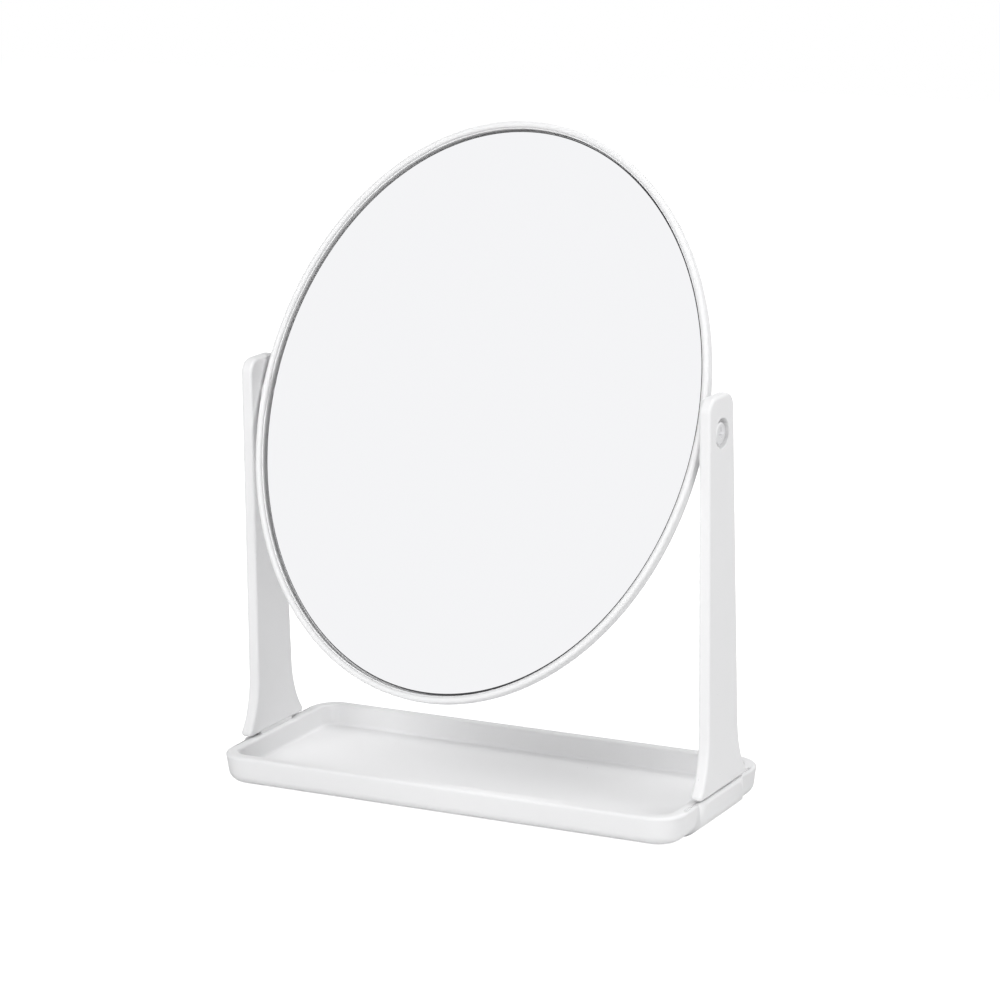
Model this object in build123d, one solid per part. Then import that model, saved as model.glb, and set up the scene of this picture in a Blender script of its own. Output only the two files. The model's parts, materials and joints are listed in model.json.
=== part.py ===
"""Oval table mirror that tilts between two flat arms standing on a shallow tray.

Frame: millimetres, +Z up, +X to the viewer's right, +Y away from the viewer. The origin is the centre
of the tray's footprint on the table. The mirror head is built flat (x across, y up its face, z out of
the glass) with the pivot line along x through the origin, and is then set on the pivot, leaning back.
"""
from build123d import *
from math import cos, radians, sin, tan
import os

# ---------------------------------------------------------------- driving dimensions, in millimetres
# mirror head
mirror_width = 150.2
mirror_height = 180.0
mirror_tilt_deg = 24.6
lip_thickness = 2.0
lip_front = 4.4
lip_bead_height = 1.2
pocket_undercut = 0.3
glass_recess = 1.8
glass_thickness = 1.8
glass_edge_gap = 0.6
tape_thickness = 0.3
tape_strip_length = 90.0
tape_strip_width = 12.0
tape_strip_pitch = 36.0
ledge_thickness = 1.5
ledge_width = 6.7
ring_back_round = 5.2
plate_thickness = 1.6
plate_seat_width = 2.0
plate_recess = 0.6
plate_clearance = 0.15
plateau_clearance = 0.3

# pivots
pivot_diameter = 3.0
pivot_running_gap = 0.08
screw_tip_gap = 0.5
screw_hole_extra = 0.05
screw_head_diameter = 6.7
screw_head_height = 1.15
screw_head_round = 0.6
screw_head_recess = 0.45
cross_length = 3.6
cross_width = 0.9
cross_depth = 0.7
washer_rim = 0.45
washer_side_gap = 0.7
washer_thickness = 0.4
spacer_diameter = 6.4
spacer_thickness = 0.65
face_gap = 0.1
pad_length = 20.0
pad_proud = 0.1

# arms
swing_clearance = 18.85
arm_thickness = 3.8
arm_half_width_top = 8.3
arm_half_width_foot = 10.4
arm_above_pivot = 11.3
arm_top_radius = 4.5
arm_edge_round = 1.0
counterbore_mouth_round = 0.25
foot_flare_reach = 7.2
foot_flare_height = 19.65
foot_flare_sweep_deg = 60.0
foot_nose_extra = 0.1
shoulder_height = 0.8
shoulder_step = 0.8
shoulder_side_step = 0.65
tongue_length = 17.0
tongue_thickness = 1.4
tongue_clearance = 0.1
tongue_outer_gap = 0.3
tongue_tip_gap = 0.4
tongue_inward_shift = 0.25
hook_height = 0.8
hook_reach = 0.35

# tray
tray_depth = 66.3
tray_height = 9.25
tray_corner_radius = 9.2
tray_draft_deg = 8.0
tray_bottom_round = 3.7
rim_outside_slot = 1.05
rim_width = 4.0
rim_outer_round = 1.0
rim_inner_round = 0.8
floor_thickness = 2.4
floor_cove = 1.0
slot_width = 1.0
slot_depth = 0.5
slot_past_foot = 5.4
socket_floor = 4.0
hook_window_width = 0.5
hook_window_height = 6.0
block_end_length = 14.0
block_proud = 1.15
block_corner_round = 12.0

# rubber pads under the tray
foot_pad_diameter = 10.0
foot_pad_proud = 0.3
foot_pad_pocket = 0.9
foot_pad_margin = 3.3

# modelling allowances: how far a cutter runs past a face, the width left between two full rounds, and
# how closely an edge must lie to the height that it is picked at
overcut = 1.0
round_allowance = 0.02
pick_tolerance = 0.01

# ---------------------------------------------------------------- places worked out from the sizes
# across, from the middle to the right-hand end
half_mirror_width = mirror_width / 2
half_mirror_height = mirror_height / 2
pad_x = half_mirror_width + pad_proud
arm_inner_x = pad_x + spacer_thickness + face_gap
arm_outer_x = arm_inner_x + arm_thickness
slot_x = (arm_inner_x + arm_outer_x) / 2 - tongue_inward_shift
tray_length = 2 * (slot_x + rim_outside_slot)

# screw head, washer and counterbore
washer_diameter = screw_head_diameter + 2 * washer_rim
counterbore_diameter = washer_diameter + 2 * washer_side_gap
counterbore_depth = washer_thickness + face_gap + screw_head_height + screw_head_recess
counterbore_floor_x = arm_outer_x - counterbore_depth
screw_head_x = counterbore_floor_x + washer_thickness + face_gap

# upwards
underside = foot_pad_proud
rim_top = underside + tray_height
pivot_z = rim_top + swing_clearance + half_mirror_height

# out of the glass, from the pivot line
glass_front = lip_front - glass_recess
glass_back = glass_front - glass_thickness
ledge_front = glass_back - tape_thickness
ledge_back = ledge_front - ledge_thickness
plate_back = ledge_back - plate_thickness
ring_back = plate_back - plate_recess

# inwards from the head's outline
pocket_inset = lip_thickness + pocket_undercut
glass_inset = pocket_inset + glass_edge_gap
opening_inset = pocket_inset + ledge_width
rebate_inset = opening_inset - plate_seat_width
screw_tip_x = half_mirror_width - glass_inset + screw_tip_gap

# along the foot of an arm
foot_nose_radius = arm_edge_round + foot_nose_extra
foot_half_length = arm_half_width_foot + foot_flare_reach
shoulder_length = tongue_length + 2 * shoulder_step
shoulder_thickness = tongue_thickness + shoulder_side_step
slot_length = 2 * (foot_half_length + slot_past_foot)
block_length = tongue_length + 2 * block_end_length
foot_pad_inset = foot_pad_diameter / 2 + tray_bottom_round + foot_pad_margin

head_place = Pos(0, 0, pivot_z) * Rot(90 - mirror_tilt_deg, 0, 0)
upright = (Align.CENTER, Align.CENTER, Align.MIN)


def save(solid, name):
    """Write one node to its own file."""
    export_step(solid, f"parts/{name}.step")


def edges_at(shape, height):
    """The edges whose middle lies at one height."""
    return shape.edges().filter_by_position(Axis.Z, height - pick_tolerance, height + pick_tolerance)


# ---------------------------------------------------------------- tray
def make_tray_shell():
    """Outer body: drafted walls that reach the tray's full size just under the rounded rim."""
    foot_inset = (tray_height - rim_outer_round) * tan(radians(tray_draft_deg))
    outline = RectangleRounded(
        tray_length - 2 * foot_inset, tray_depth - 2 * foot_inset, tray_corner_radius - foot_inset
    )
    shell = extrude(outline, tray_height, taper=-tray_draft_deg)
    shell = fillet(edges_at(shell, 0), tray_bottom_round)
    return fillet(edges_at(shell, tray_height), rim_outer_round)


def make_right_block(shell):
    """Swell at the right-hand end: the tray's own end section moved outwards, with softly curved ends."""
    width = 2 * (block_corner_round + block_proud)
    outline = RectangleRounded(width, block_length, block_corner_round)
    outer_x = tray_length / 2 + block_proud
    return (Pos(block_proud, 0, 0) * shell) & (Pos(outer_x - width / 2, 0, 0) * extrude(outline, tray_height))


def make_cavity():
    """The open space in the tray, coved where the walls meet the floor."""
    outline = RectangleRounded(
        tray_length - 2 * rim_width, tray_depth - 2 * rim_width, tray_corner_radius - rim_width
    )
    cavity = Pos(0, 0, floor_thickness) * extrude(outline, tray_height)
    return fillet(edges_at(cavity, floor_thickness), floor_cove)


def make_right_socket():
    """Slot in the rim, blind socket for the tongue, and the window under the ledge that the hook grips."""
    groove = Pos(0, 0, tray_height - slot_depth) * extrude(
        SlotOverall(slot_length, slot_width, rotation=90), slot_depth + overcut
    )
    socket_length = tongue_length + 2 * tongue_clearance
    socket_width = tongue_clearance + tongue_thickness + tongue_outer_gap
    socket = Pos((tongue_outer_gap - tongue_clearance) / 2, 0, socket_floor) * Box(
        socket_width, socket_length, tray_height, align=upright
    )
    window_inner = -(tongue_thickness / 2 + hook_reach + tongue_clearance)
    window = Pos(window_inner + hook_window_width / 2, 0, -overcut) * Box(
        hook_window_width, socket_length, hook_window_height + overcut, align=upright
    )
    return Pos(slot_x, 0, 0) * (groove + socket + window)


def make_tray():
    """Shallow tray with a swell and a socket at each end, and four pockets for the pads."""
    shell = make_tray_shell()
    right_block = make_right_block(shell)
    shell = shell + right_block + mirror(right_block, about=Plane.YZ) - make_cavity()
    inner_rim = [
        e for e in edges_at(shell, tray_height)
        if abs(e.center().X) < tray_length / 2 - rim_width + pick_tolerance
        and abs(e.center().Y) < tray_depth / 2 - rim_width + pick_tolerance
    ]
    shell = fillet(inner_rim, rim_inner_round)

    right_socket = make_right_socket()
    shell = shell - right_socket - mirror(right_socket, about=Plane.YZ)
    for x, y in foot_pad_places():
        shell -= Pos(x, y, 0) * Cylinder(foot_pad_diameter / 2, 2 * foot_pad_pocket)
    return Pos(0, 0, underside) * shell


def foot_pad_places():
    """Centres of the four pads, one near each corner."""
    x = tray_length / 2 - foot_pad_inset
    y = tray_depth / 2 - foot_pad_inset
    return [(-x, -y), (x, -y), (-x, y), (x, y)]


def make_foot_pad(x, y):
    """Rubber pad that fills its pocket and stands a little proud of the underside."""
    return Pos(x, y, 0) * Cylinder(foot_pad_diameter / 2, foot_pad_pocket + foot_pad_proud, align=upright)


# ---------------------------------------------------------------- arms
def make_arm_outline(foot_z, top_z):
    """Side view of an arm: flared foot with a round nose, straight tapered sides and a rounded top."""
    flare_z = foot_z + foot_flare_height
    flare_across = foot_flare_reach / (1 - cos(radians(foot_flare_sweep_deg)))
    flare_along = foot_flare_height / sin(radians(foot_flare_sweep_deg))
    flare = EllipticalCenterArc(
        (arm_half_width_foot + flare_across, flare_z), flare_across, flare_along,
        start_angle=180, arc_size=foot_flare_sweep_deg,
    )
    half = make_face(
        Line((0, foot_z), (foot_half_length, foot_z))
        + flare
        + Line((arm_half_width_foot, flare_z), (arm_half_width_top, top_z))
        + Line((arm_half_width_top, top_z), (0, top_z))
        + Line((0, top_z), (0, foot_z))
    )
    outline = half + mirror(half, about=Plane.YZ)
    outline = fillet(outline_corners(outline, top_z, arm_half_width_top), arm_top_radius)
    return fillet(outline_corners(outline, foot_z, foot_half_length), foot_nose_radius)


def outline_corners(outline, height, half_width):
    """The two corners of a flat outline at one height, this far to either side."""
    level = outline.vertices().filter_by_position(Axis.Y, height - pick_tolerance, height + pick_tolerance)
    return [v for v in level if abs(v.X) > half_width - pick_tolerance]


def make_right_arm():
    """Flat arm with a shoulder and a hooked tongue below its foot, and a counterbored pivot hole."""
    foot_z = rim_top + shoulder_height
    outline = make_arm_outline(foot_z, pivot_z + arm_above_pivot)
    arm = Pos(arm_inner_x, 0, 0) * extrude(Plane.YZ * outline, arm_thickness)
    flat_sides = arm.faces().sort_by(Axis.X)
    arm = fillet(flat_sides[0].edges() + flat_sides[-1].edges(), arm_edge_round)

    shoulder = Pos(slot_x - shoulder_side_step / 2, 0, rim_top) * Box(
        shoulder_thickness, shoulder_length, 2 * shoulder_height, align=upright
    )
    tongue_low = underside + socket_floor + tongue_tip_gap
    tongue = Pos(slot_x, 0, tongue_low) * Box(
        tongue_thickness, tongue_length, foot_z - tongue_low + shoulder_height, align=upright
    )
    hook_low = underside + hook_window_height - face_gap - hook_height
    hook = Pos(slot_x - hook_reach / 2, 0, hook_low) * Box(
        tongue_thickness + hook_reach, tongue_length, hook_height, align=upright
    )

    hole = Pos(arm_inner_x, 0, pivot_z) * Rot(0, 90, 0) * Cylinder(
        pivot_diameter / 2 + pivot_running_gap, 4 * arm_thickness
    )
    counterbore = Pos(counterbore_floor_x, 0, pivot_z) * Rot(0, 90, 0) * Cylinder(
        counterbore_diameter / 2, counterbore_depth + overcut, align=upright
    )
    arm = arm + shoulder + tongue + hook - hole - counterbore
    circles = arm.edges().filter_by(GeomType.CIRCLE)
    mouth = [e for e in circles if e.center().X > arm_outer_x - pick_tolerance]
    return fillet(mouth, counterbore_mouth_round)


# ---------------------------------------------------------------- pivot hardware, right-hand side
def make_right_pivot_screw():
    """Pan-head cross-recess screw, whose plain neck turns in the arm and whose end holds in the ring."""
    neck_length = screw_head_x - screw_tip_x
    neck = Pos(0, 0, -neck_length) * Cylinder(pivot_diameter / 2, neck_length, align=upright)
    head = Cylinder(screw_head_diameter / 2, screw_head_height, align=upright)
    head = fillet(edges_at(head, screw_head_height), screw_head_round)
    for angle in (0, 90):
        head -= Pos(0, 0, screw_head_height - cross_depth) * Rot(0, 0, angle) * Box(
            cross_length, cross_width, cross_depth + overcut, align=upright
        )
    return Pos(screw_head_x, 0, pivot_z) * Rot(0, 90, 0) * (neck + head)


def make_washer(outer_diameter, hole_diameter, thickness, inner_x):
    """Flat washer on the pivot line, standing out from one place across."""
    flat = extrude(Circle(outer_diameter / 2) - Circle(hole_diameter / 2), thickness)
    return Pos(inner_x, 0, pivot_z) * Rot(0, 90, 0) * flat


def make_right_friction_washer():
    """Washer on the counterbore floor, which the screw head presses to hold the mirror where it is set."""
    hole_diameter = pivot_diameter + 2 * pivot_running_gap
    return make_washer(washer_diameter, hole_diameter, washer_thickness, counterbore_floor_x)


def make_right_spacer_washer():
    """Spacer between the ring's side pad and the arm."""
    return make_washer(spacer_diameter, pivot_diameter, spacer_thickness, pad_x)


# ---------------------------------------------------------------- mirror head
def oval_disc(inset, low, high):
    """A flat oval plate, drawn in from the head's outline, between two heights above the pivot line."""
    oval = Ellipse(half_mirror_width - inset, half_mirror_height - inset)
    return Pos(0, 0, low) * extrude(oval, high - low)


def make_mirror_ring():
    """Oval ring with a round lip, a ledge behind the glass and a flat pad at each pivot."""
    body = oval_disc(0, ring_back, lip_front)
    body = fillet(edges_at(body, ring_back), ring_back_round)
    body -= oval_disc(lip_thickness, ledge_front, lip_front + overcut)
    body = fillet(edges_at(body, lip_front), lip_thickness / 2 - round_allowance)

    pad_depth = pad_proud + ring_back_round
    for side in (-1, 1):
        flat = SlotOverall(pad_length, spacer_diameter, rotation=90)
        body += Pos(side * (pad_x - pad_depth), 0, 0) * Rot(0, side * 90, 0) * extrude(flat, pad_depth)

    body -= oval_disc(pocket_inset, ledge_front, lip_front - lip_bead_height)
    body -= oval_disc(opening_inset, ring_back - overcut, lip_front + overcut)
    body -= oval_disc(rebate_inset, ring_back - overcut, ledge_back)
    screw_hole_depth = pad_x - screw_tip_x + screw_hole_extra
    for side in (-1, 1):
        body -= Pos(side * pad_x, 0, 0) * Rot(0, 90, 0) * Cylinder(pivot_diameter / 2, 2 * screw_hole_depth)
    return head_place * body


def make_back_plate():
    """Plate that closes the ring from behind; its raised middle carries the glass."""
    raised_inset = opening_inset + plateau_clearance
    hollow_inset = raised_inset + plate_thickness
    flange = oval_disc(rebate_inset + plate_clearance, plate_back, ledge_back)
    raised = oval_disc(raised_inset, plate_back, ledge_front)
    hollow = oval_disc(hollow_inset, plate_back - overcut, ledge_front - plate_thickness)
    return head_place * (flange + raised - hollow)


def make_mirror_glass():
    """Oval silvered glass, smaller than its pocket, so that a thin gap shows round its edge."""
    return head_place * oval_disc(glass_inset, glass_back, glass_front)


def make_tape_strip(x):
    """Double-sided tape between the plate's raised middle and the glass."""
    strip = Box(tape_strip_width, tape_strip_length, tape_thickness, align=upright)
    return head_place * Pos(x, 0, ledge_front) * strip


# ---------------------------------------------------------------- build every node
os.makedirs("parts", exist_ok=True)

save(make_tray(), "tray")
for number, (pad_centre_x, pad_centre_y) in enumerate(foot_pad_places(), start=1):
    save(make_foot_pad(pad_centre_x, pad_centre_y), f"foot_pad_{number}")

right_side = {
    "arm": make_right_arm(),
    "pivot_screw": make_right_pivot_screw(),
    "friction_washer": make_right_friction_washer(),
    "spacer_washer": make_right_spacer_washer(),
}
for piece, solid in right_side.items():
    save(solid, f"right_{piece}")
    save(mirror(solid, about=Plane.YZ), f"left_{piece}")

save(make_mirror_ring(), "mirror_ring")
save(make_back_plate(), "back_plate")
save(make_mirror_glass(), "mirror_glass")
for number in (1, 2, 3):
    save(make_tape_strip((number - 2) * tape_strip_pitch), f"tape_strip_{number}")
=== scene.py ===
"""Studio picture of an oval table mirror, which tilts between two arms on a shallow tray.

Everything is in metres, in the frame of the solid model: +Z up, +X to the viewer's right, +Y away from
the viewer, with the origin under the middle of the tray.
"""

import json
import logging
import math
from dataclasses import dataclass
from enum import Enum
from typing import Any, Sequence

import bmesh
import bpy
from mathutils import Matrix, Vector

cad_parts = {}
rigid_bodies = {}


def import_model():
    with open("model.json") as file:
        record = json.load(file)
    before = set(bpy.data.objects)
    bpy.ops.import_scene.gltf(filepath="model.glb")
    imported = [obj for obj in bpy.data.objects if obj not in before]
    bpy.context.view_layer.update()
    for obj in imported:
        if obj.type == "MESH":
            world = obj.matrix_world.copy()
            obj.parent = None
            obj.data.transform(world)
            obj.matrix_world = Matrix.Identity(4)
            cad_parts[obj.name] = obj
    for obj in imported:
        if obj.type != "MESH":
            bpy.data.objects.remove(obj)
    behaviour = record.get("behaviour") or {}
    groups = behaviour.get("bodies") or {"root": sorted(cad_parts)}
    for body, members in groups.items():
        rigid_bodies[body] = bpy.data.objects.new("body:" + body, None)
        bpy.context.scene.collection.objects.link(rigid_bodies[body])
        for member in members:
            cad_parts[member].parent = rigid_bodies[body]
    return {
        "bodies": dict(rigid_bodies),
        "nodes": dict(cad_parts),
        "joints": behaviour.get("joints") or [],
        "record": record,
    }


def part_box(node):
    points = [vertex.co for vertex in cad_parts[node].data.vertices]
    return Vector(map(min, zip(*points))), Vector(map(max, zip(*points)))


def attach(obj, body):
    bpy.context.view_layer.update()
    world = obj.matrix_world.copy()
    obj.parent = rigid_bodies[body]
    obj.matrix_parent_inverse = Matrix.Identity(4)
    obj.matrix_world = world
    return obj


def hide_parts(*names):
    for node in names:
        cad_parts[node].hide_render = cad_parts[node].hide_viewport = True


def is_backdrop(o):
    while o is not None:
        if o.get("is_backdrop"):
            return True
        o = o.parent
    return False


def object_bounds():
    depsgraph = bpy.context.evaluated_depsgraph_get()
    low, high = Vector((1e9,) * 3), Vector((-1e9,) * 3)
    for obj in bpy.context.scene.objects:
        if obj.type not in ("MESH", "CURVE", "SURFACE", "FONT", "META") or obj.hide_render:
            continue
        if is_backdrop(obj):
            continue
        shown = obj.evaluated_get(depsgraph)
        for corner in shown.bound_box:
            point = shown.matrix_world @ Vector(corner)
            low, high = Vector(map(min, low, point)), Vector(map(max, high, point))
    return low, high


LOG = logging.getLogger("table_mirror")
MM = 0.001
MERGE_DISTANCE = 1e-6
FLAT_ANGLE_DEG = 0.05
NORMAL_WEIGHT = 80
Colour = tuple[float, float, float]
Outline = list[tuple[float, float]]


class Body(Enum):
    """The bodies of the solid model that a piece can ride on."""

    STAND = "stand"
    HEAD = "head"


class Slot(Enum):
    """The names of the record's material slots."""

    PLASTIC = "white_plastic"
    MIRROR = "mirror"
    STEEL = "screw_steel"
    NYLON = "nylon"
    RUBBER = "rubber"
    TAPE = "tape"


# ---------------------------------------------------------------- node trees
class Graph:
    """Adds nodes to a node tree and joins them."""

    def __init__(self, tree: bpy.types.NodeTree) -> None:
        """Args:
            tree: The node tree to work on.
        """
        self.tree = tree

    def add(
        self, kind: str, inputs: dict[str | int, Any] | None = None, **settings: Any
    ) -> bpy.types.Node:
        """Adds one node.

        Args:
            kind: The node's type name.
            inputs: Input name or number to a constant, or to an output socket to join.
            settings: Properties of the node itself.

        Returns:
            The new node.
        """
        node = self.tree.nodes.new(kind)
        for name, value in settings.items():
            setattr(node, name, value)
        for name, value in (inputs or {}).items():
            if isinstance(value, bpy.types.NodeSocket):
                self.tree.links.new(value, node.inputs[name])
            else:
                node.inputs[name].default_value = value
        return node

    def math(self, operation: str, first: Any, second: Any = 0.0) -> bpy.types.NodeSocket:
        """Adds a Math node.

        Args:
            operation: The operation's name.
            first: A number or a socket.
            second: A number or a socket.

        Returns:
            The result's socket.
        """
        return self.add("ShaderNodeMath", {0: first, 1: second}, operation=operation).outputs[0]

    def mix(self, factor: Any, first: Any, second: Any) -> bpy.types.NodeSocket:
        """Mixes two colours.

        Args:
            factor: The share of the second colour.
            first: A colour or a socket.
            second: A colour or a socket.

        Returns:
            The mixed colour's socket.
        """
        inputs = {"Factor": factor, 6: first, 7: second}
        return self.add("ShaderNodeMix", inputs, data_type="RGBA").outputs[2]


def new_group(
    name: str, kind: str, inputs: dict[str, tuple[str, Any]], outputs: dict[str, str]
) -> Graph:
    """Starts a node group with named sockets.

    Args:
        name: The group's name.
        kind: ShaderNodeTree or GeometryNodeTree.
        inputs: Socket name to its type and default value, or None where it has no default.
        outputs: Socket name to its type.

    Returns:
        The graph of the new, empty group.
    """
    tree = bpy.data.node_groups.new(name, kind)
    for title, (socket_type, default) in inputs.items():
        socket = tree.interface.new_socket(title, in_out="INPUT", socket_type=socket_type)
        if default is not None:
            socket.default_value = default
    for title, socket_type in outputs.items():
        tree.interface.new_socket(title, in_out="OUTPUT", socket_type=socket_type)
    return Graph(tree)


class SurfaceEffects:
    """The shader groups that more than one finish shares, each built once.

    SLOW_SHARE is the slow wave's scale as a share of the grain's, MOTTLES_PER_METRE is the mottling's
    scale, and EMPTY_SHARE is the share of the cells that hold no speck.
    """

    SLOW_SHARE = 0.06
    MOTTLES_PER_METRE = 1400.0
    EMPTY_SHARE = 0.35

    def __init__(self) -> None:
        """Builds the groups."""
        self.grain = self._grain()
        self.specks = self._specks()
        self.handling = self._handling()

    @classmethod
    def _grain(cls) -> bpy.types.NodeTree:
        """Fine spark-eroded grain of a mould, as a height from 0 to 1."""
        graph = new_group(
            "mould_grain", "ShaderNodeTree",
            {"Place": ("NodeSocketVector", None), "Grains per Metre": ("NodeSocketFloat", 2600.0),
             "Waviness": ("NodeSocketFloat", 0.3)},
            {"Height": "NodeSocketFloat"},
        )
        given = graph.add("NodeGroupInput").outputs
        fine = graph.add("ShaderNodeTexNoise", {
            "Vector": given["Place"], "Scale": given["Grains per Metre"], "Detail": 2.0, "Roughness": 0.6,
        })
        slow_scale = graph.math("MULTIPLY", given["Grains per Metre"], cls.SLOW_SHARE)
        slow = graph.add("ShaderNodeTexNoise", {
            "Vector": given["Place"], "Scale": slow_scale, "Detail": 1.0,
        })
        wave = graph.math("MULTIPLY", slow.outputs[0], given["Waviness"])
        height = graph.math("ADD", fine.outputs[0], wave)
        graph.add("NodeGroupOutput", {"Height": height})
        return graph.tree

    @classmethod
    def _specks(cls) -> bpy.types.NodeTree:
        """Faint mottling, with a few tiny dark specks caught in the plastic."""
        graph = new_group(
            "specks_and_mottle", "ShaderNodeTree",
            {"Place": ("NodeSocketVector", None), "Base": ("NodeSocketColor", (0.9, 0.9, 0.9, 1.0)),
             "Speck": ("NodeSocketColor", (0.3, 0.3, 0.32, 1.0)),
             "Speck Radius": ("NodeSocketFloat", 0.00014), "Cells per Metre": ("NodeSocketFloat", 110.0),
             "Mottle": ("NodeSocketFloat", 0.02)},
            {"Colour": "NodeSocketColor"},
        )
        given = graph.add("NodeGroupInput").outputs
        mottle = graph.add("ShaderNodeTexNoise", {
            "Vector": given["Place"], "Scale": cls.MOTTLES_PER_METRE, "Detail": 3.0,
        })
        centred = graph.math("SUBTRACT", mottle.outputs[0], 0.5)
        change = graph.math("MULTIPLY", centred, given["Mottle"])
        shade = graph.math("ADD", change, 1.0)
        mottled = graph.add("ShaderNodeVectorMath", {0: given["Base"], "Scale": shade}, operation="SCALE")
        cells = graph.add("ShaderNodeTexVoronoi", {
            "Vector": given["Place"], "Scale": given["Cells per Metre"],
        })
        across = graph.math("DIVIDE", cells.outputs["Distance"], given["Cells per Metre"])
        inside = graph.math("LESS_THAN", across, given["Speck Radius"])
        lottery = graph.add("ShaderNodeSeparateColor", {"Color": cells.outputs["Color"]}).outputs[0]
        chosen = graph.math("MULTIPLY", inside, graph.math("GREATER_THAN", lottery, cls.EMPTY_SHARE))
        colour = graph.mix(chosen, mottled.outputs[0], given["Speck"])
        graph.add("NodeGroupOutput", {"Colour": colour})
        return graph.tree

    @staticmethod
    def _handling() -> bpy.types.NodeTree:
        """Roughness that varies a little where hands and cloths have passed."""
        graph = new_group(
            "handling_marks", "ShaderNodeTree",
            {"Place": ("NodeSocketVector", None), "Roughness": ("NodeSocketFloat", 0.4),
             "Change": ("NodeSocketFloat", 0.05), "Marks per Metre": ("NodeSocketFloat", 60.0)},
            {"Roughness": "NodeSocketFloat"},
        )
        given = graph.add("NodeGroupInput").outputs
        noise = graph.add("ShaderNodeTexNoise", {
            "Vector": given["Place"], "Scale": given["Marks per Metre"], "Detail": 4.0, "Distortion": 0.8,
        })
        centred = graph.math("SUBTRACT", noise.outputs[0], 0.5)
        shift = graph.math("MULTIPLY", centred, given["Change"])
        graph.add("NodeGroupOutput", {"Roughness": graph.math("ADD", given["Roughness"], shift)})
        return graph.tree


# ---------------------------------------------------------------- finishes
@dataclass(frozen=True)
class Moulded:
    """Any plain moulded, rubbed or foamed finish: colour, gloss, grain and specks."""

    name: str
    colour: Colour
    roughness: float
    specular: float = 0.4
    grain_depth: float = 0.000006
    grains_per_metre: float = 2600.0
    waviness: float = 0.3
    roughness_change: float = 0.06
    speck_colour: Colour = (0.35, 0.35, 0.37)
    speck_radius: float = 0.00014
    mottle: float = 0.02

    def build(self, effects: SurfaceEffects) -> bpy.types.Material:
        """Makes the material.

        Args:
            effects: The shared shader groups.

        Returns:
            The new material.
        """
        graph, shader, place = start_material(self.name)
        specks = graph.add("ShaderNodeGroup", {
            "Place": place, "Base": (*self.colour, 1.0), "Speck": (*self.speck_colour, 1.0),
            "Speck Radius": self.speck_radius, "Mottle": self.mottle,
        }, node_tree=effects.specks)
        marks = graph.add("ShaderNodeGroup", {
            "Place": place, "Roughness": self.roughness, "Change": self.roughness_change,
        }, node_tree=effects.handling)
        normal = grained_normal(
            graph, effects, place, self.grains_per_metre, self.grain_depth, self.waviness,
        )
        shader.inputs["Specular IOR Level"].default_value = self.specular
        graph.tree.links.new(specks.outputs["Colour"], shader.inputs["Base Color"])
        graph.tree.links.new(marks.outputs["Roughness"], shader.inputs["Roughness"])
        graph.tree.links.new(normal, shader.inputs["Normal"])
        return bpy.data.materials[self.name]


@dataclass(frozen=True)
class Metal:
    """Bright metal: silvering behind glass, or a plated screw."""

    name: str
    colour: Colour
    roughness: float
    roughness_change: float
    grain_depth: float = 0.0
    grains_per_metre: float = 4000.0
    waviness: float = 0.3

    def build(self, effects: SurfaceEffects) -> bpy.types.Material:
        """Makes the material.

        Args:
            effects: The shared shader groups.

        Returns:
            The new material.
        """
        graph, shader, place = start_material(self.name)
        marks = graph.add("ShaderNodeGroup", {
            "Place": place, "Roughness": self.roughness, "Change": self.roughness_change,
        }, node_tree=effects.handling)
        shader.inputs["Base Color"].default_value = (*self.colour, 1.0)
        shader.inputs["Metallic"].default_value = 1.0
        graph.tree.links.new(marks.outputs["Roughness"], shader.inputs["Roughness"])
        if self.grain_depth > 0:
            normal = grained_normal(
                graph, effects, place, self.grains_per_metre, self.grain_depth, self.waviness,
            )
            graph.tree.links.new(normal, shader.inputs["Normal"])
        return bpy.data.materials[self.name]


def start_material(name: str) -> tuple[Graph, bpy.types.Node, bpy.types.NodeSocket]:
    """Starts a material on object coordinates.

    Args:
        name: The material's name.

    Returns:
        The graph, the Principled BSDF node, and the socket of the object coordinates.
    """
    material = bpy.data.materials.new(name)
    material.use_nodes = True
    graph = Graph(material.node_tree)
    shader = material.node_tree.nodes["Principled BSDF"]
    place = graph.add("ShaderNodeTexCoord").outputs["Object"]
    return graph, shader, place


def grained_normal(
    graph: Graph, effects: SurfaceEffects, place: bpy.types.NodeSocket, per_metre: float, depth: float,
    waviness: float,
) -> bpy.types.NodeSocket:
    """Adds the shared grain as a bump.

    Args:
        graph: The material's graph.
        effects: The shared shader groups.
        place: The object coordinates.
        per_metre: How many grains there are to the metre.
        depth: The grain's depth.
        waviness: The share of the slow wave under the grain.

    Returns:
        The bumped normal's socket.
    """
    grain = graph.add("ShaderNodeGroup", {
        "Place": place, "Grains per Metre": per_metre, "Waviness": waviness,
    }, node_tree=effects.grain)
    bump = graph.add("ShaderNodeBump", {
        "Height": grain.outputs["Height"], "Distance": depth, "Strength": 1.0,
    })
    return bump.outputs[0]


SATIN_WHITE = Moulded(
    "satin_white", (0.872, 0.872, 0.876), 0.42, grain_depth=0.0000015, mottle=0.01,
)
PLATE_WHITE = Moulded(
    "plate_white", (0.86, 0.86, 0.865), 0.5, grain_depth=0.00003, grains_per_metre=1900.0,
)
NYLON = Moulded("nylon", (0.84, 0.84, 0.83), 0.38, grain_depth=0.00001, mottle=0.01)
RUBBER = Moulded(
    "pad_rubber", (0.55, 0.55, 0.56), 0.75, specular=0.3, grain_depth=0.00005, mottle=0.08,
)
FOAM = Moulded(
    "tape_foam", (0.8, 0.8, 0.79), 0.9, specular=0.2, grain_depth=0.00008, mottle=0.1,
)
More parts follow.
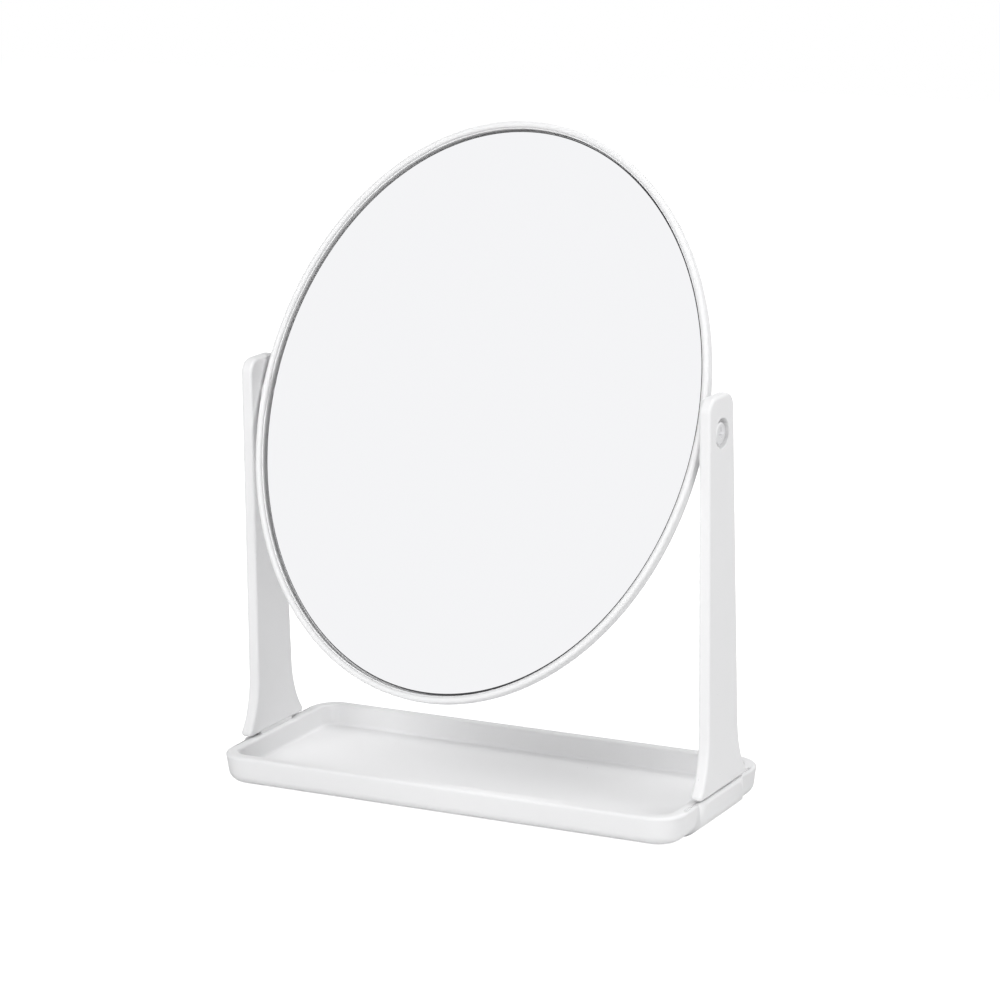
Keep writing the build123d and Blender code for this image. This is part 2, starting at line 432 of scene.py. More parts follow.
# The glass's ground edge, coloured near black as painted shade: it darkens the narrow gap between glass and
# ring. Its specks and glints come from the mottle and the high specular.
GLASS_EDGE_PAINTED_SHADE = Moulded(
    "glass_edge_painted_shade", (0.05, 0.05, 0.055), 0.3, specular=0.9, grain_depth=0.00012,
    grains_per_metre=2200.0, waviness=1.0, mottle=0.9,
)
BACK_PAINT = Moulded("silvering_paint", (0.42, 0.43, 0.44), 0.6, grain_depth=0.00002)
SILVERING = Metal("silvering", (0.906, 0.908, 0.922), 0.012, 0.012)
ZINC = Metal("zinc_plate", (0.92, 0.92, 0.93), 0.3, 0.15, grain_depth=0.00003)


class Finishes:
    """Every material of the object, by name."""

    def __init__(self) -> None:
        """Builds the shared groups and each material."""
        effects = SurfaceEffects()
        known = (
            SATIN_WHITE, PLATE_WHITE, NYLON, RUBBER, FOAM, GLASS_EDGE_PAINTED_SHADE, BACK_PAINT, SILVERING, ZINC,
        )
        self._made = {finish.name: finish.build(effects) for finish in known}

    def get(self, finish: Moulded | Metal) -> bpy.types.Material:
        """Returns the material of a finish."""
        return self._made[finish.name]


# ---------------------------------------------------------------- mesh tools
def arc(centre: tuple[float, float], radius: float, start: float, end: float, steps: int) -> Outline:
    """Points along an arc, both ends included.

    Args:
        centre: The arc's centre.
        radius: The arc's radius.
        start: The first angle, in degrees.
        end: The last angle, in degrees.
        steps: How many chords the arc has.

    Returns:
        The points, in order.
    """
    points = []
    for step in range(steps + 1):
        angle = math.radians(start + (end - start) * step / steps)
        points.append((centre[0] + radius * math.cos(angle), centre[1] + radius * math.sin(angle)))
    return points


def oval(half_width: float, half_height: float, segments: int) -> Outline:
    """Points round an oval about the origin.

    Args:
        half_width: Half its width.
        half_height: Half its height.
        segments: How many points it has.

    Returns:
        The points, in order.
    """
    turns = [math.tau * k / segments for k in range(segments)]
    return [(half_width * math.cos(turn), half_height * math.sin(turn)) for turn in turns]


def new_object(name: str, mesh: bpy.types.Mesh) -> bpy.types.Object:
    """Puts a mesh into the scene, at the origin.

    Args:
        name: The object's name.
        mesh: Its mesh.

    Returns:
        The new object.
    """
    mesh.name = name
    piece = bpy.data.objects.new(name, mesh)
    bpy.context.scene.collection.objects.link(piece)
    return piece


def mesh_from(work: bmesh.types.BMesh, name: str) -> bpy.types.Mesh:
    """Closes doubles, turns the faces outwards and frees the working mesh.

    Args:
        work: The working mesh, which is freed.
        name: The new mesh's name.

    Returns:
        The mesh.
    """
    bmesh.ops.remove_doubles(work, verts=work.verts, dist=MERGE_DISTANCE)
    bmesh.ops.recalc_face_normals(work, faces=work.faces)
    mesh = bpy.data.meshes.new(name)
    work.to_mesh(mesh)
    work.free()
    return mesh


def bridge(
    work: bmesh.types.BMesh, first: list[bmesh.types.BMVert], second: list[bmesh.types.BMVert]
) -> list[bmesh.types.BMFace]:
    """Joins two closed rings of points by a band of faces.

    Args:
        work: The working mesh.
        first: The first ring.
        second: The second ring, with as many points.

    Returns:
        The new faces, in order.
    """
    faces = []
    for k in range(len(first)):
        after = (k + 1) % len(first)
        faces.append(work.faces.new((first[k], first[after], second[after], second[k])))
    return faces


def lathe(profile: Outline, name: str, segments: int = 64) -> bpy.types.Mesh:
    """Turns a closed profile about Z.

    Args:
        profile: Points (radius, height) of the closed profile.
        name: The new mesh's name.
        segments: How many steps a full turn has.

    Returns:
        The turned mesh.
    """
    work = bmesh.new()
    rings = []
    for radius, height in profile:
        rings.append([work.verts.new((*point, height)) for point in oval(radius, radius, segments)])
    for first, second in zip(rings, rings[1:] + rings[:1]):
        bridge(work, first, second)
    return mesh_from(work, name)


def smooth(piece: bpy.types.Object, angle_deg: float = 35.0) -> None:
    """Shades a piece smooth apart from its sharp edges, with flat faces kept flat.

    Args:
        piece: The piece, with a mesh that no other object uses.
        angle_deg: Edges sharper than this stay sharp.
    """
    piece.data.shade_smooth()
    piece.data.set_sharp_from_angle(angle=math.radians(angle_deg))
    weighted = piece.modifiers.new("even_normals", "WEIGHTED_NORMAL")
    weighted.keep_sharp = True
    weighted.weight = NORMAL_WEIGHT


def dressed_copy(node: bpy.types.Object, name: str) -> bpy.types.Object:
    """Copies a solid's mesh with its loose triangles joined, and the flat ones merged into whole faces.

    Args:
        node: The solid model's object, which is left alone.
        name: The new piece's name.

    Returns:
        The new piece.
    """
    work = bmesh.new()
    work.from_mesh(node.data)
    bmesh.ops.remove_doubles(work, verts=work.verts, dist=MERGE_DISTANCE)
    bmesh.ops.dissolve_limit(
        work, angle_limit=math.radians(FLAT_ANGLE_DEG), verts=work.verts, edges=work.edges,
    )
    mesh = bpy.data.meshes.new(name)
    work.to_mesh(mesh)
    work.free()
    mesh.materials.clear()
    return new_object(name, mesh)


class Placer:
    """Geometry Nodes trees that repeat a small piece, or sweep a section round an oval.

    SEAM_DISTANCE is how near the first and last points of the oval's seam lie to be merged.
    """

    SEAM_DISTANCE = 1e-7

    def __init__(self) -> None:
        """Builds the trees."""
        self.turned = self._turned()
        self.rows = self._rows()
        self.oval_band = self._oval_band()

    @staticmethod
    def _finish(graph: Graph, geometry: bpy.types.NodeSocket, material: bpy.types.NodeSocket) -> None:
        """Ends a tree in Realize Instances and Set Material."""
        real = graph.add("GeometryNodeRealizeInstances", {0: geometry}).outputs[0]
        dressed = graph.add("GeometryNodeSetMaterial", {
            "Geometry": real, "Material": material,
        }).outputs[0]
        graph.add("NodeGroupOutput", {"Geometry": dressed})

    @classmethod
    def _turned(cls) -> bpy.types.NodeTree:
        """Copies of a piece, each turned about Z from the one before."""
        graph = new_group(
            "turned_copies", "GeometryNodeTree",
            {"Geometry": ("NodeSocketGeometry", None), "Copies": ("NodeSocketInt", 2),
             "Turn": ("NodeSocketFloat", math.pi), "Material": ("NodeSocketMaterial", None)},
            {"Geometry": "NodeSocketGeometry"},
        )
        given = graph.add("NodeGroupInput").outputs
        points = graph.add("GeometryNodePoints", {"Count": given["Copies"]}).outputs[0]
        index = graph.add("GeometryNodeInputIndex").outputs[0]
        angle = graph.math("MULTIPLY", index, given["Turn"])
        turn = graph.add("ShaderNodeCombineXYZ", {"Z": angle}).outputs[0]
        copies = graph.add("GeometryNodeInstanceOnPoints", {
            "Points": points, "Instance": given["Geometry"], "Rotation": turn,
        }).outputs[0]
        cls._finish(graph, copies, given["Material"])
        return graph.tree

    @classmethod
    def _rows(cls) -> bpy.types.NodeTree:
        """Copies of a piece in even rows about the origin."""
        graph = new_group(
            "even_rows", "GeometryNodeTree",
            {"Geometry": ("NodeSocketGeometry", None), "Columns": ("NodeSocketInt", 2),
             "Rows": ("NodeSocketInt", 1), "Column Pitch": ("NodeSocketFloat", 0.01),
             "Row Pitch": ("NodeSocketFloat", 0.01), "Material": ("NodeSocketMaterial", None)},
            {"Geometry": "NodeSocketGeometry"},
        )
        given = graph.add("NodeGroupInput").outputs
        count = graph.math("MULTIPLY", given["Columns"], given["Rows"])
        points = graph.add("GeometryNodePoints", {"Count": count}).outputs[0]
        index = graph.add("GeometryNodeInputIndex").outputs[0]
        column = graph.math("MODULO", index, given["Columns"])
        row = graph.math("FLOOR", graph.math("DIVIDE", index, given["Columns"]))
        places = []
        for number, total, pitch in ((column, "Columns", "Column Pitch"), (row, "Rows", "Row Pitch")):
            middle = graph.math("MULTIPLY", graph.math("SUBTRACT", given[total], 1.0), 0.5)
            places.append(graph.math("MULTIPLY", graph.math("SUBTRACT", number, middle), given[pitch]))
        place = graph.add("ShaderNodeCombineXYZ", {"X": places[0], "Y": places[1]}).outputs[0]
        set_out = graph.add("GeometryNodeSetPosition", {
            "Geometry": points, "Position": place,
        }).outputs[0]
        copies = graph.add("GeometryNodeInstanceOnPoints", {
            "Points": set_out, "Instance": given["Geometry"],
        }).outputs[0]
        cls._finish(graph, copies, given["Material"])
        return graph.tree

    @classmethod
    def _oval_band(cls) -> bpy.types.NodeTree:
        """A closed section (x = how far in from the outline, y = height) carried round an oval."""
        graph = new_group(
            "oval_band", "GeometryNodeTree",
            {"Geometry": ("NodeSocketGeometry", None), "Half Width": ("NodeSocketFloat", 0.075),
             "Half Height": ("NodeSocketFloat", 0.09), "Segments": ("NodeSocketInt", 360),
             "Material": ("NodeSocketMaterial", None)},
            {"Geometry": "NodeSocketGeometry"},
        )
        given = graph.add("NodeGroupInput").outputs
        size = graph.add("GeometryNodeAttributeDomainSize", {"Geometry": given["Geometry"]})
        corners = size.outputs["Point Count"]
        down = graph.math("ADD", corners, 1.0)
        around = graph.math("ADD", given["Segments"], 1.0)
        grid = graph.add("GeometryNodeMeshGrid", {"Vertices X": around, "Vertices Y": down})
        index = graph.add("GeometryNodeInputIndex").outputs[0]
        step = graph.math("FLOOR", graph.math("DIVIDE", index, down))
        corner = graph.math("MODULO", graph.math("MODULO", index, down), corners)
        position = graph.add("GeometryNodeInputPosition").outputs[0]
        section = graph.add("GeometryNodeSampleIndex", {
            "Geometry": given["Geometry"], "Value": position, "Index": corner,
        }, data_type="FLOAT_VECTOR")
        parts = graph.add("ShaderNodeSeparateXYZ", {0: section.outputs[0]}).outputs
        angle = graph.math("MULTIPLY", graph.math("DIVIDE", step, given["Segments"]), math.tau)
        spots = []
        for half, turn in (("Half Width", "COSINE"), ("Half Height", "SINE")):
            reach = graph.math("SUBTRACT", given[half], parts[0])
            spots.append(graph.math("MULTIPLY", reach, graph.math(turn, angle)))
        place = graph.add("ShaderNodeCombineXYZ", {"X": spots[0], "Y": spots[1], "Z": parts[1]}).outputs[0]
        band = graph.add("GeometryNodeSetPosition", {
            "Geometry": grid.outputs[0], "Position": place,
        }).outputs[0]
        closed = graph.add("GeometryNodeMergeByDistance", {
            "Geometry": band, "Distance": cls.SEAM_DISTANCE,
        }).outputs[0]
        cls._finish(graph, closed, given["Material"])
        return graph.tree

    @staticmethod
    def apply(piece: bpy.types.Object, tree: bpy.types.NodeTree, values: dict[str, Any]) -> None:
        """Runs a tree on a piece and keeps the result as its plain mesh.

        Args:
            piece: The piece, whose mesh is the tree's Geometry input.
            tree: The tree to run.
            values: Input name to its value.
        """
        modifier = piece.modifiers.new(tree.name, "NODES")
        modifier.node_group = tree
        inputs = [item for item in tree.interface.items_tree if item.in_out == "INPUT"]
        sockets = {item.name: item.identifier for item in inputs}
        for name, value in values.items():
            modifier[sockets[name]] = value
        evaluated = piece.evaluated_get(bpy.context.evaluated_depsgraph_get())
        result = bpy.data.meshes.new_from_object(evaluated)
        piece.modifiers.clear()
        piece.data = result
        work = bmesh.new()
        work.from_mesh(result)
        bmesh.ops.recalc_face_normals(work, faces=work.faces)
        work.to_mesh(result)
        work.free()


class Workshop:
    """What every sub-assembly works with: the frame, the materials and the trees."""

    def __init__(self) -> None:
        """Loads the frame and builds what is shared."""
        self.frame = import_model()
        self.size_at_start = plain_box(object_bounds())
        self.finishes = Finishes()
        self.placer = Placer()
        self.pivot = Vector(self.frame["joints"][0]["pos_m"])

    def deliver(
        self, piece: bpy.types.Object, body: Body, slot: Slot, replaces: Sequence[str]
    ) -> None:
        """Hands a finished piece to the frame.

        Args:
            piece: The finished piece.
            body: The body that it rides on.
            slot: Not used.
            replaces: The solids that it stands for.
        """
        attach(piece, body.value)
        if replaces:
            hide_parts(*replaces)
        LOG.info("%s: %d faces on %s", piece.name, len(piece.data.polygons), body.value)

    def dress_solid(self, node: str, finish: Moulded | Metal, body: Body, slot: Slot) -> None:
        """Shows a solid by a joined copy of itself, with a finish.

        Args:
            node: The solid's name.
            finish: The finish to give it.
            body: The body that it rides on.
            slot: The record's material slot.
        """
        piece = dressed_copy(self.frame["nodes"][node], f"{node}_moulding")
        piece.data.materials.append(self.finishes.get(finish))
        smooth(piece)
        self.deliver(piece, body, slot, [node])


# ---------------------------------------------------------------- sub-assemblies
@dataclass
class Stand:
    """The tray with its two arms and four rubber pads."""

    shop: Workshop
    pad_radius: float = 5.0 * MM
    pad_height: float = 1.2 * MM
    pad_edge_round: float = 0.25 * MM
    pad_ring_radius: float = 3.2 * MM
    pad_ring_depth: float = 0.12 * MM

    def build(self) -> None:
        """Makes every piece of the stand."""
        self.mouldings()
        self.foot_pads()

    def mouldings(self) -> None:
        """Dresses the tray and the arms."""
        for node in ("tray", "left_arm", "right_arm"):
            self.shop.dress_solid(node, SATIN_WHITE, Body.STAND, Slot.PLASTIC)

    def foot_pads(self) -> None:
        """Makes four rubber pads with a rounded edge and a shallow moulded ring underneath."""
        radius, height, edge = self.pad_radius, self.pad_height, self.pad_edge_round
        groove, depth = self.pad_ring_radius, self.pad_ring_depth
        profile = [(0.0, 0.0), (groove - depth, 0.0), (groove, depth), (groove + depth, 0.0)]
        profile += arc((radius - edge, edge), edge, -90, 0, steps=6)
        profile += [(radius, height), (0.0, height)]
        low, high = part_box("foot_pad_1")
        far_low, far_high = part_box("foot_pad_4")
        piece = new_object("foot_pads", lathe(profile, "foot_pads"))
        self.shop.placer.apply(piece, self.shop.placer.rows, {
            "Columns": 2, "Rows": 2,
            "Column Pitch": (far_low.x + far_high.x - low.x - high.x) / 2,
            "Row Pitch": (far_low.y + far_high.y - low.y - high.y) / 2,
            "Material": self.shop.finishes.get(RUBBER),
        })
        smooth(piece)
        pads = [f"foot_pad_{number}" for number in (1, 2, 3, 4)]
        self.shop.deliver(piece, Body.STAND, Slot.RUBBER, pads)


@dataclass
class MirrorHead:
    """The oval ring with its glass, back plate and tape."""

    shop: Workshop
    half_width: float = 75.1 * MM
    half_height: float = 90.0 * MM
    tilt_deg: float = 24.6
    lip_thickness: float = 2.0 * MM
    lip_front: float = 4.4 * MM
    lip_bead_height: float = 1.2 * MM
    pocket_inset: float = 2.3 * MM
    ledge_front: float = 0.5 * MM
    ledge_back: float = -1.0 * MM
    ledge_inset: float = 9.0 * MM
    rebate_inset: float = 7.0 * MM
    ring_back: float = -3.2 * MM
    back_round: float = 5.2 * MM
    ring_segments: int = 720
    glass_inset: float = 2.9 * MM
    glass_front: float = 2.6 * MM
    glass_back: float = 0.8 * MM
    glass_chamfer: float = 0.3 * MM
    glass_shift: float = 0.4 * MM
    glass_segments: int = 360
    pad_face: float = 75.2 * MM
    pad_half_length: float = 10.0 * MM
    pad_half_width: float = 3.2 * MM
    pad_round: float = 0.35 * MM
    pad_sink: float = 2.4 * MM
    tape_width: float = 12.0 * MM
    tape_length: float = 90.0 * MM
    tape_pitch: float = 36.0 * MM
    tape_thickness: float = 0.3 * MM
    tape_corner_round: float = 1.0 * MM

    def build(self) -> None:
        """Makes every piece of the head."""
        self.ring()
        self.pivot_pads()
        self.glass()
        self.tape()
        self.shop.dress_solid("back_plate", PLATE_WHITE, Body.HEAD, Slot.PLASTIC)

    @property
    def place(self) -> Matrix:
        """From the flat head, pivot line through the origin, to where it stands."""
        lean = Matrix.Rotation(math.radians(90 - self.tilt_deg), 4, "X")
        return Matrix.Translation(self.shop.pivot) @ lean

    def section(self) -> Outline:
        """The ring's section: how far in from the outline, and the height out of the glass."""
        lip = self.lip_thickness / 2
        return [
            *arc((lip, self.lip_front - lip), lip, 180, 0, steps=36),
            (self.lip_thickness, self.lip_front - self.lip_bead_height),
            (self.pocket_inset, self.lip_front - self.lip_bead_height),
            (self.pocket_inset, self.ledge_front),
            (self.ledge_inset, self.ledge_front),
            (self.ledge_inset, self.ledge_back),
            (self.rebate_inset, self.ledge_back),
            (self.rebate_inset, self.ring_back),
            *arc(
                (self.back_round, self.ring_back + self.back_round), self.back_round, -90, -180, steps=20,
            ),
        ]

    def ring(self) -> None:
        """Carries the section round the oval."""
        outline = self.section()
        mesh = bpy.data.meshes.new("mirror_ring_band")
        count = len(outline)
        edges = [(k, (k + 1) % count) for k in range(count)]
        mesh.from_pydata([(x, y, 0.0) for x, y in outline], edges, [])
        piece = new_object("mirror_ring_band", mesh)
        self.shop.placer.apply(piece, self.shop.placer.oval_band, {
            "Half Width": self.half_width, "Half Height": self.half_height,
            "Segments": self.ring_segments, "Material": self.shop.finishes.get(SATIN_WHITE),
        })
        piece.data.transform(self.place)
        smooth(piece)
        self.shop.deliver(piece, Body.HEAD, Slot.PLASTIC, ["mirror_ring"])

    def pivot_pads(self) -> None:
        """Makes the flat pads on the ring's sides that the spacers bear on."""
        straight = self.pad_half_length - self.pad_half_width
        edge = self.pad_round
        layers = [(-self.pad_sink, 0.0), *[
            (-edge + y, edge - x) for x, y in arc((0.0, 0.0), edge, 0, 90, steps=6)
        ]]
        work = bmesh.new()
        rings = []
        for height, inset in layers:
            radius = self.pad_half_width - inset
            outline = arc((0.0, straight), radius, 0, 180, steps=24)
            outline += arc((0.0, -straight), radius, 180, 360, steps=24)
            rings.append([work.verts.new((self.pad_face + height, y, x)) for x, y in outline])
        for first, second in zip(rings, rings[1:]):
            bridge(work, first, second)
        work.faces.new(rings[0])
        work.faces.new(rings[-1])
        piece = new_object("pivot_pads", mesh_from(work, "pivot_pads"))
        self.shop.placer.apply(piece, self.shop.placer.turned, {
            "Copies": 2, "Turn": math.pi, "Material": self.shop.finishes.get(SATIN_WHITE),
        })
        piece.data.transform(self.place)
        smooth(piece)
        self.shop.deliver(piece, Body.HEAD, Slot.PLASTIC, [])

    def glass(self) -> None:
        """Makes the silvered glass, with a ground edge coloured near black as painted shade of the gap
        round it and a painted back, a little right of its middle.
        """
        chamfer = self.glass_chamfer
        layers = [
            (self.glass_inset + chamfer, self.glass_front),
            (self.glass_inset, self.glass_front - chamfer),
            (self.glass_inset, self.glass_back + chamfer),
            (self.glass_inset + chamfer, self.glass_back),
        ]
        work = bmesh.new()
        rings = []
        for inset, height in layers:
            outline = oval(self.half_width - inset, self.half_height - inset, self.glass_segments)
            rings.append([work.verts.new((*point, height)) for point in outline])
        front = work.faces.new(rings[0])
        back = work.faces.new(rings[-1])
        for first, second in zip(rings, rings[1:]):
            # The edge faces take the near-black edge finish, which is painted shade of the gap round the
            # glass.
            for edge_face in bridge(work, first, second):
                edge_face.material_index = 1
        front.material_index = 0
        back.material_index = 2
        piece = new_object("mirror_glass_plate", mesh_from(work, "mirror_glass_plate"))
        for finish in (SILVERING, GLASS_EDGE_PAINTED_SHADE, BACK_PAINT):
            piece.data.materials.append(self.shop.finishes.get(finish))
        piece.data.transform(self.place @ Matrix.Translation((self.glass_shift, 0.0, 0.0)))
        smooth(piece)
        self.shop.deliver(piece, Body.HEAD, Slot.MIRROR, ["mirror_glass"])

    def tape(self) -> None:
        """Makes three strips of foam tape in a row."""
        work = bmesh.new()
        bmesh.ops.create_cube(work, size=1.0)
        size = (self.tape_width, self.tape_length, self.tape_thickness)
        bmesh.ops.scale(work, vec=size, verts=work.verts)
        middle = Vector((0.0, 0.0, self.ledge_front + self.tape_thickness / 2))
        bmesh.ops.translate(work, vec=middle, verts=work.verts)
        upright = [e for e in work.edges if abs((e.verts[0].co - e.verts[1].co).z) > MERGE_DISTANCE]
        bmesh.ops.bevel(
            work, geom=upright, offset=self.tape_corner_round, segments=4, affect="EDGES", profile=0.5,
        )
        piece = new_object("foam_tape", mesh_from(work, "foam_tape"))
        self.shop.placer.apply(piece, self.shop.placer.rows, {
            "Columns": 3, "Rows": 1, "Column Pitch": self.tape_pitch, "Row Pitch": 0.0,
            "Material": self.shop.finishes.get(FOAM),
        })
        piece.data.transform(self.place)
        smooth(piece)
        strips = [f"tape_strip_{number}" for number in (1, 2, 3)]
        self.shop.deliver(piece, Body.HEAD, Slot.TAPE, strips)


@dataclass
class Pivots:
    """The screws, spacers and friction washers at both ends of the pivot line."""

    shop: Workshop
    screw_radius: float = 1.5 * MM
    screw_tip: float = 72.7 * MM
    head_under: float = 78.15 * MM
    head_radius: float = 3.35 * MM
    head_height: float = 1.15 * MM
    head_round: float = 0.6 * MM
    cross_length: float = 3.6 * MM
    cross_width: float = 0.9 * MM
    cross_depth: float = 0.7 * MM
    cross_low_share: float = 0.72
    cross_high_share: float = 1.28
    screw_segments: int = 96
    washer_radius: float = 3.8 * MM
    washer_thickness: float = 0.4 * MM
    washer_floor: float = 77.65 * MM
    spacer_radius: float = 3.2 * MM
    spacer_thickness: float = 0.65 * MM
    spacer_floor: float = 75.2 * MM
    hole_radius: float = 1.58 * MM
    edge_break: float = 0.08 * MM

    def build(self) -> None:
        """Makes every piece of the pivots."""
        self.screws()
        self.washer_pair(
            "friction_washers", self.washer_radius, self.hole_radius, self.washer_thickness,
            self.washer_floor, Body.STAND,
        )
        self.washer_pair(
            "spacer_washers", self.spacer_radius, self.screw_radius, self.spacer_thickness,
            self.spacer_floor, Body.HEAD,
        )

    def onto_pivot(self, along: float) -> Matrix:
        """From a piece that stands on Z to one that points outwards along the pivot line."""
        return Matrix.Translation((along, 0.0, 0.0)) @ Matrix.Rotation(math.radians(90), 4, "Y")

    def pair(
        self, piece: bpy.types.Object, finish: Moulded | Metal, body: Body, slot: Slot,
        nodes: list[str],
    ) -> None:
        """Makes the same piece at both ends, and sets it on the pivot line.

        Args:
            piece: The right-hand piece, about the pivot line through the origin.
            finish: The finish to give it.
            body: The body that it rides on.
            slot: The record's material slot.
            nodes: The solids that the pair stands for.
        """
        self.shop.placer.apply(piece, self.shop.placer.turned, {
            "Copies": 2, "Turn": math.pi, "Material": self.shop.finishes.get(finish),
        })
        piece.data.transform(Matrix.Translation(self.shop.pivot))
        smooth(piece)
        self.shop.deliver(piece, body, slot, nodes)

    def screws(self) -> None:
        """Makes the pan-head screws, with a tapered cross recess cut in each head."""
        top, tip, edge = self.head_height, self.screw_tip - self.head_under, self.head_round
        profile = [(0.0, tip), (self.screw_radius, tip), (self.screw_radius, 0.0), (self.head_radius, 0.0)]
        profile += arc((self.head_radius - edge, top - edge), edge, 0, 90, steps=8)
        profile += [(0.0, top)]
        piece = new_object("pivot_screws", lathe(profile, "pivot_screws", self.screw_segments))
        cutter = new_object("cross_cutter", self.cross())
        cut = piece.modifiers.new("cross", "BOOLEAN")
        cut.operation = "DIFFERENCE"
        cut.solver = "EXACT"
        cut.object = cutter
        evaluated = piece.evaluated_get(bpy.context.evaluated_depsgraph_get())
        mesh = bpy.data.meshes.new_from_object(evaluated)
        piece.modifiers.clear()
        piece.data = mesh
        bpy.data.objects.remove(cutter)
        piece.data.transform(self.onto_pivot(self.head_under))
        self.pair(piece, ZINC, Body.HEAD, Slot.STEEL, ["left_pivot_screw", "right_pivot_screw"])

    def cross(self) -> bpy.types.Mesh:
        """The tapered cross that cuts the recess, standing through the head's top."""
        top, low = self.head_height + self.cross_depth, self.head_height - self.cross_depth
        arm, half = self.cross_length / 2, self.cross_width / 2
        corners = [(arm, half), (half, half), (half, arm)]
        outline = []
        for quarter in range(4):
            turn = Matrix.Rotation(math.radians(90 * quarter), 2)
            outline += [turn @ Vector(corner) for corner in corners]
        ordered = sorted(outline, key=lambda point: math.atan2(point.y, point.x))
        work = bmesh.new()
        rings = []
        for height, share in ((low, self.cross_low_share), (top, self.cross_high_share)):
            rings.append([work.verts.new((p.x * share, p.y * share, height)) for p in ordered])
        bridge(work, *rings)
        work.faces.new(rings[0])
        work.faces.new(rings[1])
        return mesh_from(work, "cross_cutter")

    def washer_pair(
        self, name: str, radius: float, hole: float, thickness: float, floor: float, body: Body
    ) -> None:
        """Makes a pair of flat washers with broken edges.

        Args:
            name: The pair's name, whose singular names the solids.
            radius: The outer radius.
            hole: The hole's radius.
            thickness: The washer's thickness.
            floor: Where its inner face lies along the pivot line.
            body: The body that the pair rides on.
        """
        edge = self.edge_break
        profile = [
            (hole, edge), (hole + edge, 0.0), (radius - edge, 0.0), (radius, edge),
            (radius, thickness - edge), (radius - edge, thickness), (hole + edge, thickness),
            (hole, thickness - edge),
        ]
        piece = new_object(name, lathe(profile, name))
        piece.data.transform(self.onto_pivot(floor))
        nodes = [f"{side}_{name[:-1]}" for side in ("left", "right")]
        self.pair(piece, NYLON, body, Slot.NYLON, nodes)


# ---------------------------------------------------------------- studio
@dataclass(frozen=True)
class Lamp:
    """A soft square lamp that looks at the object."""

    name: str
    azimuth_deg: float
    elevation_deg: float
    power: float
    distance: float = 1.6
    side: float = 0.9


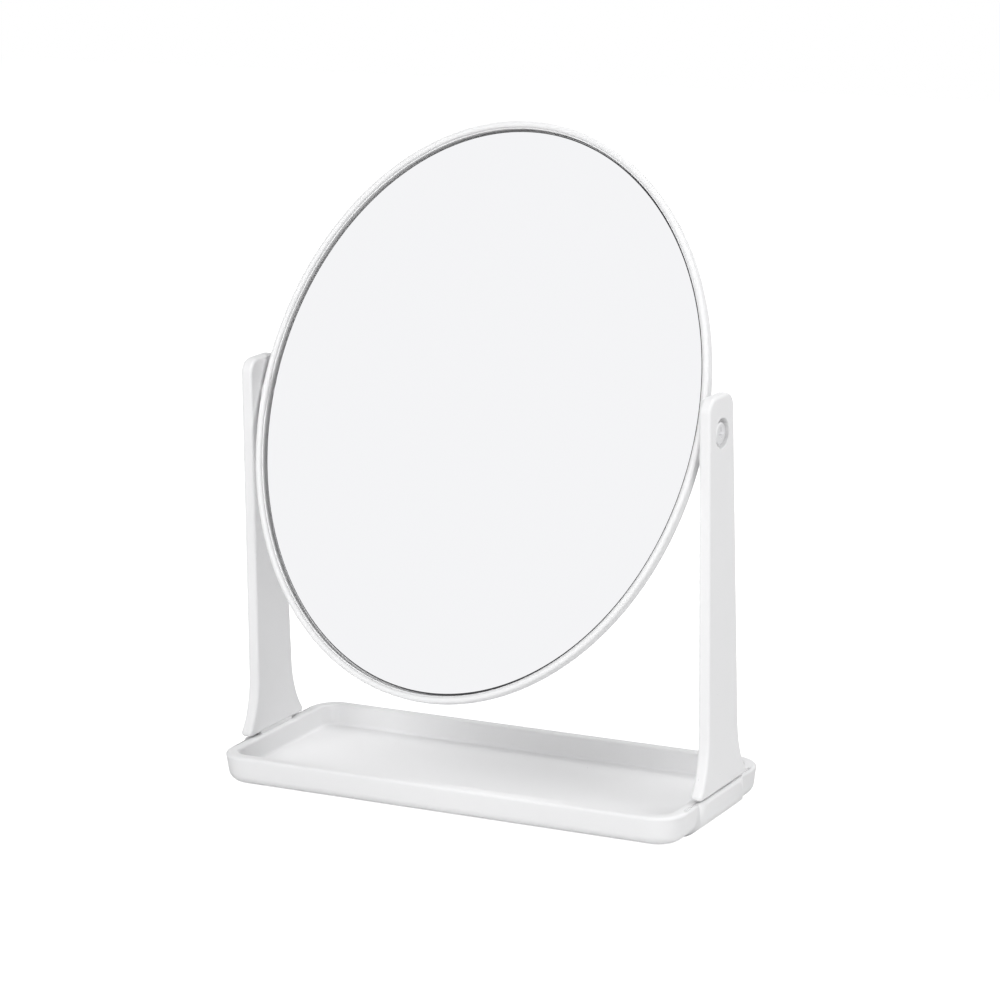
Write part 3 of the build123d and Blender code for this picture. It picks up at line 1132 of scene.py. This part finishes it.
@dataclass
class Studio:
    """Pale floor, soft light and the camera at the photograph's angle."""

    camera_azimuth_deg: float = 28.21
    camera_elevation_deg: float = 13.46
    camera_roll_deg: float = -1.13
    camera_distance: float = 1.0988
    camera_aim_height: float = 0.1003
    camera_side: float = 0.00509
    camera_rise: float = -0.00932
    lens_mm: float = 130.8
    sensor_mm: float = 36.0
    floor_half: float = 1.6
    floor_colour: Colour = (0.8, 0.8, 0.8)
    floor_lift: float = 0.86
    sky_colour: Colour = (0.93, 0.945, 1.0)
    sky_strength: float = 0.05
    lamps: tuple[Lamp, ...] = (
        Lamp("left_front", -17.0, 28.0, 10.4),
        Lamp("low_front", 30.0, 12.0, 4.8),
        Lamp("high_front", 0.0, 45.0, 6.6),
        Lamp("right", 90.0, 35.0, 9.2),
        Lamp("back", 150.0, 50.0, 10.6),
    )

    def build(self) -> None:
        """Makes the floor, the world, the lamps and the camera."""
        bpy.context.scene.view_settings.view_transform = "Standard"
        self.floor()
        self.world()
        for lamp in self.lamps:
            self.lamp(lamp)
        self.camera()

    @staticmethod
    def direction(azimuth_deg: float, elevation_deg: float) -> Vector:
        """From the object towards a viewer at that azimuth and elevation."""
        azimuth, elevation = math.radians(azimuth_deg), math.radians(elevation_deg)
        flat = math.cos(elevation)
        return Vector((math.sin(azimuth) * flat, -math.cos(azimuth) * flat, math.sin(elevation)))

    @staticmethod
    def seen_directly(graph: Graph) -> bpy.types.NodeSocket:
        """1 where the camera sees the sky, also in the mirror, and 0 for rays that have been scattered."""
        path = graph.add("ShaderNodeLightPath").outputs
        between_none_and_one = 0.5
        unscattered = graph.math("LESS_THAN", path["Diffuse Depth"], between_none_and_one)
        mirrored = graph.math("MULTIPLY", path["Is Glossy Ray"], unscattered)
        return graph.math("MAXIMUM", path["Is Camera Ray"], mirrored)

    def floor(self) -> None:
        """Makes a plain pale floor that photographs white but keeps the object's shadow."""
        half = self.floor_half
        mesh = bpy.data.meshes.new("floor")
        corners = [(-half, -half, 0), (half, -half, 0), (half, half, 0), (-half, half, 0)]
        mesh.from_pydata(corners, [], [(0, 1, 2, 3)])
        piece = new_object("floor", mesh)
        material = bpy.data.materials.new("studio_floor")
        material.use_nodes = True
        graph = Graph(material.node_tree)
        shader = material.node_tree.nodes["Principled BSDF"]
        shader.inputs["Base Color"].default_value = (*self.floor_colour, 1.0)
        shader.inputs["Roughness"].default_value = 1.0
        shader.inputs["Specular IOR Level"].default_value = 0.0
        shader.inputs["Emission Color"].default_value = (1.0, 1.0, 1.0, 1.0)
        to_camera = graph.add("ShaderNodeLightPath").outputs["Is Camera Ray"]
        lift = graph.math("MULTIPLY", to_camera, self.floor_lift)
        graph.tree.links.new(lift, shader.inputs["Emission Strength"])
        mesh.materials.append(material)
        piece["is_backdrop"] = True

    def world(self) -> None:
        """Makes a world that is white to look at and gives a little soft light from all round."""
        world = bpy.data.worlds.new("studio")
        bpy.context.scene.world = world
        world.use_nodes = True
        graph = Graph(world.node_tree)
        graph.tree.nodes.clear()
        seen = self.seen_directly(graph)
        light = graph.add("ShaderNodeBackground", {
            "Color": (*self.sky_colour, 1.0), "Strength": self.sky_strength,
        })
        white = graph.add("ShaderNodeBackground", {"Color": (1.0, 1.0, 1.0, 1.0), "Strength": 1.0})
        both = graph.add("ShaderNodeMixShader", {0: seen, 1: light.outputs[0], 2: white.outputs[0]})
        graph.add("ShaderNodeOutputWorld", {"Surface": both.outputs[0]})

    def lamp(self, lamp: Lamp) -> None:
        """Hangs one lamp, turned to the object."""
        light = bpy.data.lights.new(lamp.name, "AREA")
        light.shape = "SQUARE"
        light.size = lamp.side
        light.energy = lamp.power
        holder = bpy.data.objects.new(lamp.name, light)
        towards = self.direction(lamp.azimuth_deg, lamp.elevation_deg)
        holder.location = Vector((0.0, 0.0, self.camera_aim_height)) + towards * lamp.distance
        holder.rotation_euler = towards.to_track_quat("Z", "Y").to_euler()
        holder.visible_camera = False
        holder.visible_glossy = False
        bpy.context.scene.collection.objects.link(holder)

    def camera(self) -> None:
        """Sets the camera where the photograph was taken from."""
        back = self.direction(self.camera_azimuth_deg, self.camera_elevation_deg)
        azimuth = math.radians(self.camera_azimuth_deg)
        roll = math.radians(self.camera_roll_deg)
        level = Vector((math.cos(azimuth), math.sin(azimuth), 0.0))
        rise = back.cross(level)
        place = Vector((0.0, 0.0, self.camera_aim_height))
        place += level * self.camera_side + rise * self.camera_rise + back * self.camera_distance
        right = level * math.cos(roll) + rise * math.sin(roll)
        up = rise * math.cos(roll) - level * math.sin(roll)
        camera = bpy.data.cameras.new("camera")
        camera.sensor_width = self.sensor_mm
        camera.lens = self.lens_mm
        camera.clip_start = 0.05
        camera.clip_end = 50.0
        holder = bpy.data.objects.new("camera", camera)
        turn = Matrix((right, up, back)).transposed().to_4x4()
        holder.matrix_world = Matrix.Translation(place) @ turn
        bpy.context.scene.collection.objects.link(holder)
        bpy.context.scene.camera = holder


def plain_box(box: Sequence[Vector]) -> list[list[float]]:
    """Turns a box of two corners into plain lists of numbers."""
    return [[float(value) for value in corner] for corner in box]


def main() -> None:
    """Builds the studio and every sub-assembly."""
    logging.basicConfig(level=logging.INFO, format="%(name)s: %(message)s")
    shop = Workshop()
    Studio().build()
    Stand(shop).build()
    MirrorHead(shop).build()
    Pivots(shop).build()


if __name__ == "__main__":
    main()
